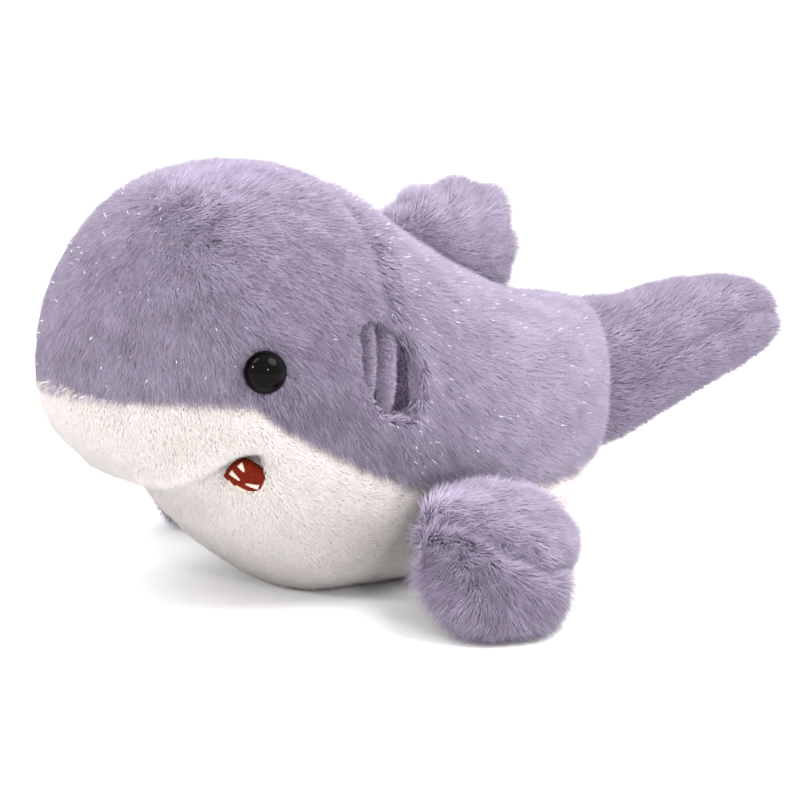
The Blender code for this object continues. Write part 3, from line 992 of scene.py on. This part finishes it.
def tinsel(name, count, keep):
    """Short bright threads that stand among the hairs of the upper body, glowing as a painted glint."""
    u, t = scatter(upper, count, keep)
    place, along, across, normal = upper.frame(u, t)
    lean_u, lean_t = upper_flow(u, t, place)
    heading = along * lean_u[:, None] + across * lean_t[:, None]
    heading = unit(heading + 0.5 * random.normal(size=(count, 3)))
    sizes = random.uniform(0.8, 1.8, count)
    widths = random.uniform(0.14, 0.36, count)
    roots = upper.at(u, t, TINSEL_LIFT)
    threads = hairs(name, roots, heading, normal, sizes, 0.75 * sizes, widths, np.zeros(count), [glitter_painted_glint])
    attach(threads, "body")


def back_tinsel(u, t):
    """Most on the crest behind the neck, and none at the foot of the dorsal fin, which moves."""
    y = trunk.station(u)[..., 0]
    crest = hump(y - GILL_Y, 9, 7)
    foot = (np.abs(t) < 0.14) & (y > -38)
    return upper_keep(u, t) * (0.25 + 1.6 * crest) * (y > GILL_Y) * ~foot


def head_tinsel(u, t):
    """Most on the face."""
    return upper_keep(u, t) * (0.15 + hump(trunk.station(u)[..., 0], -128, 14))


tinsel("tinsel_back", BACK_THREADS, back_tinsel)
tinsel("tinsel_head", HEAD_THREADS, head_tinsel)


# ---------------------------------------------------------------- eyes and mouth


def turned(name, profile, origin, axis, look):
    """A round piece: (radius, height) points from the tip down to the end, turned about an axis."""
    rings = np.array(profile, float)
    angle = 2 * math.pi * np.arange(AROUND_EYE) / AROUND_EYE
    ring = np.stack([np.cos(angle), np.sin(angle)], -1)
    heights = np.broadcast_to(rings[:, None, 1:], (len(rings), AROUND_EYE, 1))
    local = np.concatenate([rings[:, None, :1] * ring[None], heights], -1)
    long_way = square_to(axis, np.array([0.0, 1.0, 0.0]))
    rows = np.array([long_way, np.cross(axis, long_way), axis])
    return closed_loft(name, local @ rows + origin, [look])


def on_patch(side, x, y, lift):
    """A place over a mouth patch, which swells in the middle and curves with the muzzle."""
    origin, rows = mouth_place(side)
    swell = np.clip(1 - (x / MOUTH_HALF_LENGTH) ** 2, 0, 1) * np.clip(1 - (y / 6.0) ** 2, 0, 1)
    local = np.stack([x, y * side, lift + 0.9 * swell - 0.012 * (x**2 + y**2)], -1)
    return local @ rows + origin


EYE_RADIUS, EYE_HEIGHT = 6.0, 5.6
AROUND_EYE = 56
# The rim, the flat back and the shank.
EYE_BACK = [(5.9, -0.6), (5.2, -1.6), (2.4, -2.0), (2.0, -2.4), (2.0, -10.6), (1.6, -11.0), (0.02, -11.0)]
for word, side in (("left", 1), ("right", -1)):
    seat, out = eye_place(side)
    dome = [
        (max(EYE_RADIUS * math.sin(turn), 0.02), 0.2 + EYE_HEIGHT * math.cos(turn))
        for turn in np.linspace(0, math.pi / 2, 18)
    ]
    eye = turned(f"eye_bead_{word}", dome + EYE_BACK, seat, out, eye_plastic)
    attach(eye, "body")
    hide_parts(f"eye_{word}")
    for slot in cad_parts[f"eye_washer_{word}"].material_slots:
        slot.material = washer_plastic

# The stitched teeth on a patch: the middle of the base and the tip, the long way and the short way.
TEETH = (
    ((1.0, 5.4), (2.2, 3.4)),
    ((-2.5, 2.9), (-0.1, 0.5)),
    ((-4.4, -2.6), (-4.4, -0.4)),
    ((-0.9, -4.9), (-2.4, -1.9)),
    ((4.2, -3.0), (1.2, -0.9)),
)
TOOTH_HALF_WIDTH = 0.85


def tooth(side, base, tip):
    """The outer and inner points of a pointed, ribbed bundle of thread."""
    base, way = np.array(base), np.array(tip) - np.array(base)
    p, q = np.meshgrid(np.linspace(0, 1, 9), np.linspace(-1, 1, 7), indexing="ij")
    half = TOOTH_HALF_WIDTH * (1 - p) ** 0.8 + 0.12
    sideways = np.array([-way[1], way[0]]) / np.linalg.norm(way)
    x = base[0] + way[0] * p + sideways[0] * half * q
    y = base[1] + way[1] * p + sideways[1] * half * q
    raised = 0.55 + 0.45 * np.sqrt(np.clip(1 - q**2, 0, 1)) + 0.06 * np.sin(p * 30)
    return on_patch(side, x, y, raised), on_patch(side, x, y, 0.2 + 0 * p)


for word, side in (("left", 1), ("right", -1)):
    xi, eta = np.meshgrid(np.linspace(0.004, 0.996, 41), np.linspace(-1, 1, 25), indexing="ij")
    x, y = MOUTH_HALF_LENGTH * (2 * xi - 1), mouth_outline(xi) * eta
    edge = np.clip(1 - np.maximum(np.abs(eta), np.abs(2 * xi - 1)) ** 6, 0, 1)
    outer, inner = on_patch(side, x, y, 0.5 * edge), on_patch(side, x, y, -2.2 + 0 * x)
    felt = grid_shell(f"mouth_felt_{word}", outer, inner, [red_felt])
    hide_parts(f"mouth_patch_{word}")
    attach(felt, "body")
    shells = [tooth(side, base, tip) for base, tip in TEETH]
    stitched = joined_shells(f"mouth_teeth_{word}", shells, [tooth_thread])
    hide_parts(f"upper_teeth_{word}", f"lower_teeth_{word}")
    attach(stitched, "body")


# ---------------------------------------------------------------- stage


# In metres.
MIDDLE = Vector((0.0, -0.03, 0.06))
FLOOR_REACH = 4.0
WORLD_LIGHT = 1.3
# Round lamps that face the middle: direction from there, distance, size and watts.
LAMPS = (
    ("back_light", (0.5, 0.32, 0.8), 1.3, 0.9, 16),
    ("key_light", (-0.25, -0.55, 0.79), 1.1, 0.5, 3),
    ("side_light", (0.92, -0.23, 0.33), 1.2, 0.12, 3.5),
    ("front_light", (-0.1, -0.9, 0.43), 1.5, 0.19, 8),
)
CAMERA_MM = (507.0, -341.4, 137.0)
CAMERA_TILT, CAMERA_TURN = 82, 58

for name, way, distance, size, power in LAMPS:
    lamp = bpy.data.lights.new(name, "AREA")
    lamp.shape = "DISK"
    lamp.size = size
    lamp.energy = power
    made = bpy.data.objects.new(name, lamp)
    made.location = MIDDLE + Vector(way) * distance
    made.rotation_euler = (MIDDLE - made.location).to_track_quat("-Z", "Y").to_euler()
    bpy.context.scene.collection.objects.link(made)

floor_mesh = bpy.data.meshes.new("floor")
corners = [(x * FLOOR_REACH, y * FLOOR_REACH, 0) for x, y in ((-1, -1), (1, -1), (1, 1), (-1, 1))]
floor_mesh.from_pydata(corners, [], [(0, 1, 2, 3)])
floor_mesh.materials.append(new_material("floor_paper", (0.84, 0.84, 0.84), 0.9))
floor = bpy.data.objects.new("floor", floor_mesh)
bpy.context.scene.collection.objects.link(floor)

world = bpy.data.worlds.new("studio")
bpy.context.scene.world = world
world.use_nodes = True
background = world.node_tree.nodes["Background"]
background.inputs["Color"].default_value = (1.0, 1.0, 1.0, 1)
background.inputs["Strength"].default_value = WORLD_LIGHT

camera_data = bpy.data.cameras.new("camera")
camera_data.lens = 85
camera_data.sensor_width = 36
camera = bpy.data.objects.new("camera", camera_data)
camera.location = [part * MM for part in CAMERA_MM]
camera.rotation_euler = (math.radians(CAMERA_TILT), 0, math.radians(CAMERA_TURN))
bpy.context.scene.collection.objects.link(camera)
bpy.context.scene.camera = camera
bpy.context.scene.view_settings.view_transform = "Standard"
